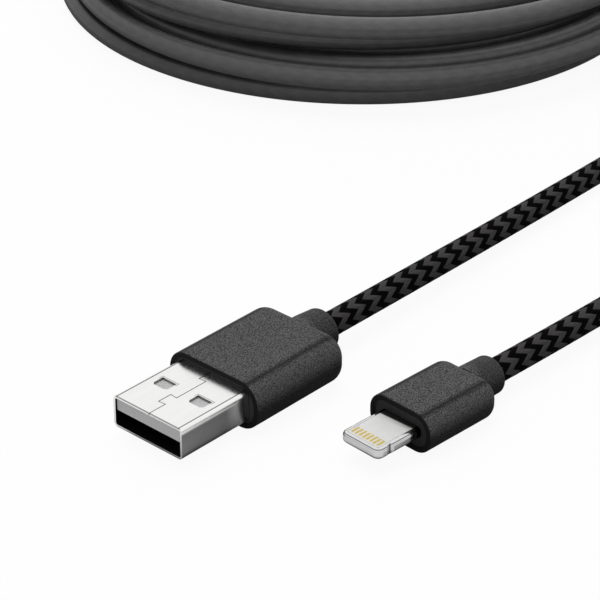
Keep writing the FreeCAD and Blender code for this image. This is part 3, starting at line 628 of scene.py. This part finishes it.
def housing_material(name, plug, crease):
    """Moulded plastic with a fine spark grain, smooth at the front rim, with painted light and
    shade.
    """
    shade = Shade(name, roughness=0.7, specular=0.06)
    along, aside, up = shade.plug_place(plug)
    front, rear = plug[2:]
    tilted = shade.stretched((1.0, 1.0, 1.0), GRAIN_TILT)
    fine = shade.noise(GRAIN_SIZE, rough=0.6, place=tilted)
    speck = shade.ramp(fine, *SPECK_SPAN)
    collar = shade.climb(along, rear - 0.6, rear + 0.2, 0.6, 0.0)
    base = shade.mix(collar, shade.blend(speck, "2a2a2a", "727272"),
                     shade.blend(speck, "2e2e2e", "484848"))
    upper = shade.climb(up, 0.2, 1.2)
    aside = shade.size(aside)
    # Painted shade: a dark band along the edge between top and flank
    crease_shade = shade.band(aside, crease - 0.25, crease + 0.35, 0.3)
    base = shade.cover(base, SHADOW, shade.times(crease_shade, upper, 0.78))
    # Painted light: a lighter band on the upper flank, below the edge
    flank = shade.climb(aside, crease + 0.3, crease + 0.9)
    base = shade.cover(base, "787878", shade.times(flank, upper, 0.15))
    # Painted shade: darker towards the bottom
    base = shade.cover(base, SHADOW, shade.climb(up, -0.2, 1.4, 0.8, 0.0))
    # Smooth at the front rim, without grain, and darkened there as painted shade on the front face
    rim = shade.climb(along, front - 0.16, front - 0.04)
    shade.colour(shade.cover(base, "1e1e1e", rim))
    shade.roughness(shade.ramp(fine, *CLOUD_SPAN, 0.58, 0.7))
    shade.bump(shade.times(fine, shade.less(1.0, rim)), 0.012)
    return shade.material


def metal_material(name, code, roughness):
    """Plain metal with faint drawn lines along X."""
    shade = Shade(name, metallic=1.0, roughness=roughness)
    lines = shade.noise(1.0, detail=3.0, place=shade.stretched(DRAWN_LINES))
    bright = tone(code)
    shade.colour(shade.mix(shade.ramp(lines, *CLOUD_SPAN), bright, dimmed(bright, 0.95)))
    shade.uneven_roughness(shade.noise(1.6), roughness, 0.1)
    shade.bump(lines, 0.0001)
    return shade.material


def tab_material(name, code, metallic, roughness):
    """Bright tab with painted shade on walls, edge and notches, and the moulding's painted shadow.
    """
    shade = Shade(name, metallic=metallic, roughness=roughness)
    along, aside, up = shade.plug_place(PHONE_PLUG)
    cloud = shade.noise(1.0, detail=3.0)
    bright = tone(code)
    base = shade.mix(shade.ramp(cloud, *SPOT_SPAN), bright, dimmed(bright, 0.96))
    # Painted shade: a dark line where the top bends into the walls
    edge = shade.band(up, 0.57, 0.67, 0.03)
    base = shade.cover(base, TAB_SHADE_TONE, shade.times(edge, 0.8))
    out = shade.size(aside)
    # Painted shade on the lower walls
    low = shade.climb(up, -0.6, -0.1, 1.0, 0.0)
    low = shade.times(low, shade.climb(out, 3.15, 3.3, 0.9, 0.2))
    base = shade.cover(base, "787878", low)
    # Painted shade in the side notches
    notch = shade.times(shade.band(along, -2.5, -2.2, 0.06), shade.past(out, 2.95))
    base = shade.cover(base, TAB_SHADE_TONE, shade.times(notch, 0.75))
    # Painted shadow of the moulding over the tab's root: soft, stronger on one side, dark at the
    # root
    slanted = shade.maths("ADD", along, shade.times(aside, TAB_SHADE_SLANT))
    near = shade.times(shade.climb(slanted, -7.0, -5.8, 0.55, 0.0), shade.climb(aside, -2.5, 1.5))
    base = shade.cover(base, "2a2a2a", near)
    base = shade.cover(base, "181818", shade.climb(slanted, -6.75, -6.55, 1.0, 0.0))
    shade.colour(base)
    shade.uneven_roughness(cloud, roughness, 0.1)
    shade.bump(cloud, 0.0005)
    return shade.material


def window_zone(shade, x, y, spare):
    """1 inside the two latch windows, grown by the spare length."""
    along = shade.size(shade.less(x, WINDOW_X * MM))
    aside = shade.size(shade.less(shade.size(y), WINDOW_Y * MM))
    return shade.times(shade.within(along, WINDOW_LONG / 2 + spare),
                       shade.within(aside, WINDOW_WIDE / 2 + spare))


def shell_inside_shade(shade, x, y, z):
    """1 where shade is painted: inside the shell and on its seam's walls, less on its windows'
    walls.
    """
    level = shade.size(shade.less(z, SHELL_MID * MM))
    behind_rim = shade.within(x, SHELL_FRONT - 0.03)
    inside = shade.times(shade.within(shade.size(y), SHELL_SIDE - 0.24),
                         shade.within(level, SHELL_TOP - 0.25), behind_rim)
    below_top = shade.within(level, SHELL_TOP - 0.02)
    wall = shade.times(window_zone(shade, x, y, 0.02), below_top, 0.6)
    seam = shade.times(shade.within(shade.size(y), SEAM_SIDE), below_top, behind_rim)
    return shade.more(shade.more(inside, wall), seam)


def shell_reflection_lines(shade, x, y, z):
    """1 on painted dark reflection lines of the top: bends, mouth and the windows' rear lips."""
    bend = shade.band(shade.size(y), SHELL_SIDE - 0.66, SHELL_SIDE - 0.5, 0.03)
    mouth = shade.band(x, SHELL_FRONT - 0.14, SHELL_FRONT - 0.04, 0.03)
    lip = shade.less(window_zone(shade, x, y, 0.22), window_zone(shade, x, y, 0.14))
    lip = shade.times(lip, shade.within(x, WINDOW_X - 0.5))
    lines = shade.more(shade.more(bend, mouth), lip)
    return shade.times(lines, 0.9, shade.past(z, SHELL_MID + SHELL_TOP - 0.05))


def shell_flank_reflection(shade, x, y, z, base):
    """The base colour with painted reflections on the sides, darker towards the foot."""
    flank = shade.climb(shade.size(y), SHELL_SIDE - 0.1, SHELL_SIDE - 0.01)
    below = shade.climb(z, SHELL_MID + 1.35, SHELL_MID + 1.6, 1.0, 0.0)
    open_way = shade.climb(x, 5.5, 8.5)
    # Painted reflection: the sides lighter high up and darker low down, away from the housing
    side = shade.blend(shade.climb(z, SHELL_MID - 1.1, SHELL_MID + 1.0), "ababab", "858585")
    foot_shade = shade.climb(z, SHELL_MID - 1.9, SHELL_MID - 1.3, 1.0, 0.0)
    return shade.mix(shade.times(flank, below, open_way), base,
                     shade.cover(side, "646464", foot_shade))


def shell_material():
    """Nickelled sheet, bright outside with painted reflections and highlight, painted shade inside.
    """
    shade = Shade("shell_nickel", metallic=1.0)
    x, y, z = shade.split()
    inside = shell_inside_shade(shade, x, y, z)
    lines = shade.noise(1.0, detail=3.0, place=shade.stretched(DRAWN_LINES))
    base = shade.blend(shade.ramp(lines, *CLOUD_SPAN), "f4f4f3", "f0f0ef")
    # Painted reflections: dark lines along the top's bends, mouth and window lips
    base = shade.cover(base, SHELL_REFLECTION_LINE, shell_reflection_lines(shade, x, y, z))
    base = shell_flank_reflection(shade, x, y, z, base)
    # Painted highlight along the mouth's cut edge, with painted dark reflection lines at its top
    # and bottom
    rim = shade.climb(x, SHELL_FRONT - 0.03, SHELL_FRONT)
    base = shade.cover(base, "ffffff", shade.times(rim, 0.3))
    outline = shade.more(shade.past(z, SHELL_MID + SHELL_TOP - 0.09),
                         shade.within(z, SHELL_MID - SHELL_TOP + 0.08))
    base = shade.cover(base, SHELL_REFLECTION_LINE, shade.times(outline, rim, 0.8))
    # Painted shade: dark inside the shell, in its seam and on its windows' walls
    shade.colour(shade.cover(base, "202020", inside))
    rough = shade.ramp(shade.noise(1.6), *CLOUD_SPAN, 0.22, 0.25)
    shade.roughness(shade.more(rough, shade.times(inside, 0.55)))
    shade.bump(lines, 0.0001)
    return shade.material


def insulator_material():
    """Light moulding with painted light at its front end and painted shade where the shell covers
    it.
    """
    shade = Shade("insulator_grey", roughness=0.5, specular=0.3)
    x, y, z = shade.split()
    open_part = shade.more(window_zone(shade, x, y, 0.1), shade.past(x, SHELL_FRONT - 0.4))
    covered_shade = shade.times(shade.past(z, SHELL_MID + 1.88), shade.less(1.0, open_part))
    spots = shade.noise(0.8, detail=3.0)
    base = shade.blend(shade.ramp(spots, *SPOT_SPAN), "d4d4d4", "cacaca")
    # Painted light: the front end lighter
    base = shade.cover(base, "fafafa", shade.past(x, SHELL_FRONT - 1.3))
    # Painted shade where the shell covers the top
    shade.colour(shade.cover(base, SHADOW, covered_shade))
    shade.bump(spots, 0.003)
    return shade.material


def speckled_material(name, first, second, size, roughness, metallic=0.0):
    """Two close tones in blotches of this size."""
    shade = Shade(name, metallic=metallic, roughness=roughness)
    spots = shade.noise(size, detail=3.0)
    shade.colour(shade.blend(shade.ramp(spots, *SPOT_SPAN), first, second))
    shade.uneven_roughness(spots, roughness, 0.12)
    shade.bump(spots, 0.004)
    return shade.material


def paint(material, *names):
    """Gives CAD nodes this material."""
    for name in names:
        thing = cad_nodes[name]
        if not thing.material_slots:
            thing.data.materials.append(material)
        for place in thing.material_slots:
            place.material = material


def finish_nodes():
    """Materials of all CAD nodes; returns the braid's for the cord."""
    paint(shell_material(), "host_shell")
    paint(insulator_material(), "host_insulator")
    gilt = metal_material("contact_gilt", "d3bd72", 0.3)
    paint(gilt, "host_contact_power", "host_contact_data_minus", "host_contact_data_plus",
          "host_contact_ground", "phone_contacts_top", "phone_contacts_under")
    solder = speckled_material("solder", "b9bcc0", "8f9296", 0.3, 0.3, metallic=1.0)
    paint(solder, "host_solder_joints", "phone_solder_joints")
    for role, (name, first, second) in WIRE_COATS.items():
        coat = speckled_material(name, first, second, 0.4, 0.42)
        paint(coat, "host_wire_" + role, "phone_wire_" + role)
    paint(metal_material("crimp_brass", "c9a860", 0.32), "host_crimp", "phone_crimp")
    paint(inner_material(), "host_inner_mould", "phone_inner_mould")
    paint(housing_material("host_black", HOST_PLUG, HOST_CREASE), "host_housing")
    paint(housing_material("phone_black", PHONE_PLUG, PHONE_CREASE), "phone_housing")
    paint(tab_material("tab_metal", "e0e0e0", 1.0, 0.16), "phone_tab_frame")
    paint(tab_material("tab_insert", "f4f4f3", 0.0, 0.42), "phone_tab_insert")
    paint(speckled_material("board_green", "1f6b3c", "185631", 0.5, 0.45), "phone_board")
    paint(speckled_material("chip_black", "1b1b1c", "29292a", 0.15, 0.5), "phone_control_chip")
    paint(speckled_material("capacitor_tan", "b48a5a", "97703f", 0.2, 0.45), "phone_capacitors")
    steel = metal_material("shield_steel", "c4c6c8", 0.34)
    paint(steel, "phone_shield_upper", "phone_shield_lower")
    braid = braid_material()
    paint(braid, "host_cable_end", "phone_cable_end", "cord_host_lead", "cord_coil",
          "cord_phone_lead")
    return braid


# Stage

def linked(tree, kind, *values, **settings):
    """A node with its first inputs fed by sockets or numbers."""
    made = tree.nodes.new("ShaderNode" + kind)
    for key, setting in settings.items():
        setattr(made, key, setting)
    for socket, value in zip(made.inputs, values):
        if isinstance(value, bpy.types.NodeSocket):
            tree.links.new(value, socket)
        else:
            socket.default_value = value
    return made


def grey(level):
    return (level, level, level, 1)


def seen_rays(tree):
    """1 for rays that show a surface to the camera, in gloss or through glass."""
    rays = tree.nodes.new("ShaderNodeLightPath").outputs
    first = linked(tree, "Math", rays["Is Camera Ray"], rays["Is Glossy Ray"],
                   operation="MAXIMUM")
    second = linked(tree, "Math", first.outputs[0], rays["Is Transmission Ray"],
                    operation="MAXIMUM")
    return second.outputs[0], rays["Is Glossy Ray"]


def stage_floor():
    """White wherever it is seen, with faint shadows; under gloss, painted shade close to the
    object.
    """
    half = FLOOR_HALF
    mesh = bpy.data.meshes.new("floor")
    mesh.from_pydata([(-half, -half, 0), (half, -half, 0), (half, half, 0), (-half, half, 0)],
                     [], [(0, 1, 2, 3)])
    floor = bpy.data.objects.new("floor", mesh)
    bpy.context.collection.objects.link(floor)
    material = bpy.data.materials.new("floor_white")
    material.use_nodes = True
    tree = material.node_tree
    tree.nodes.clear()
    seen, glossy = seen_rays(tree)
    # Painted shade: the floor, as gloss shows it, darker near the object
    nearness = tree.nodes.new("ShaderNodeAmbientOcclusion")
    nearness.inputs["Distance"].default_value = NEAR_FLOOR * MM
    dim = linked(tree, "MapRange", nearness.outputs["AO"], 0.68, 0.97, 0.1, 0.85)
    strength = linked(tree, "MapRange", glossy, 0.0, 1.0, FLOOR_GLOW, dim.outputs[0])
    glow = linked(tree, "Emission", grey(1), strength.outputs[0])
    faint = linked(tree, "BsdfDiffuse", grey(0.08))
    shown = linked(tree, "AddShader", faint.outputs[0], glow.outputs[0])
    lit = linked(tree, "BsdfDiffuse", grey(0.4))
    pick = linked(tree, "MixShader", seen, lit.outputs[0], shown.outputs[0])
    linked(tree, "OutputMaterial", pick.outputs[0])
    mesh.materials.append(material)


def stage_world():
    """Soft fill for diffuse light; gloss sees a white room with a dim horizon."""
    world = bpy.data.worlds.new("world")
    bpy.context.scene.world = world
    world.use_nodes = True
    tree = world.node_tree
    seen, glossy = seen_rays(tree)
    direction = tree.nodes.new("ShaderNodeTexCoord").outputs["Generated"]
    height = linked(tree, "SeparateXYZ", direction).outputs[2]
    room = linked(tree, "MapRange", height, 0.04, 0.3, 0.2, 1.0).outputs[0]
    shown = linked(tree, "MapRange", glossy, 0.0, 1.0, 1.0, room).outputs[0]
    strength = linked(tree, "MapRange", seen, 0.0, 1.0, FILL, shown).outputs[0]
    tree.links.new(strength, tree.nodes["Background"].inputs["Strength"])
    tree.nodes["Background"].inputs["Color"].default_value = grey(1)


def area_light(name, place, target, size, power):
    """A soft lamp that no gloss shows."""
    data = bpy.data.lights.new(name, "AREA")
    data.shape = "RECTANGLE"
    data.size, data.size_y = size
    data.energy = power
    light = bpy.data.objects.new(name, data)
    bpy.context.collection.objects.link(light)
    light.location = place
    light.rotation_euler = (Vector(target) - Vector(place)).to_track_quat("-Z", "Y").to_euler()
    light.visible_camera = False
    light.visible_glossy = False


def stage_camera():
    """The photograph's camera."""
    data = bpy.data.cameras.new("camera")
    data.lens = LENS_MM
    data.sensor_width = SENSOR_MM
    data.clip_start = 0.01
    data.clip_end = 100.0
    camera = bpy.data.objects.new("camera", data)
    bpy.context.collection.objects.link(camera)
    ahead = Vector(CAMERA_AHEAD).normalized()
    right = Vector(CAMERA_RIGHT).normalized()
    up = right.cross(ahead)
    turn = Matrix((right, up, -ahead)).transposed().to_4x4()
    camera.matrix_world = Matrix.Translation(Vector(CAMERA_PLACE) * MM) @ turn
    bpy.context.scene.camera = camera
    bpy.context.scene.view_settings.view_transform = "Standard"


line = spline_line(cord_points())
cord = braided_cord(Path(line, (0, 0, 1)))
cord.data.materials.append(finish_nodes())
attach(cord, "root")
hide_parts("cord_host_lead", "cord_coil", "cord_phone_lead")

stage_floor()
stage_world()
stage_camera()
area_light("top_light", (-0.2, -0.25, 0.9), (-0.05, -0.02, 0.0), (0.9, 0.9), 5.5)
area_light("back_light", (-0.8, -0.7, 0.4), (-0.06, -0.03, 0.0), (0.8, 0.4), 2.0)
area_light("front_light", (0.9, 0.8, 0.7), (-0.06, -0.03, 0.0), (0.8, 0.8), 3.0)
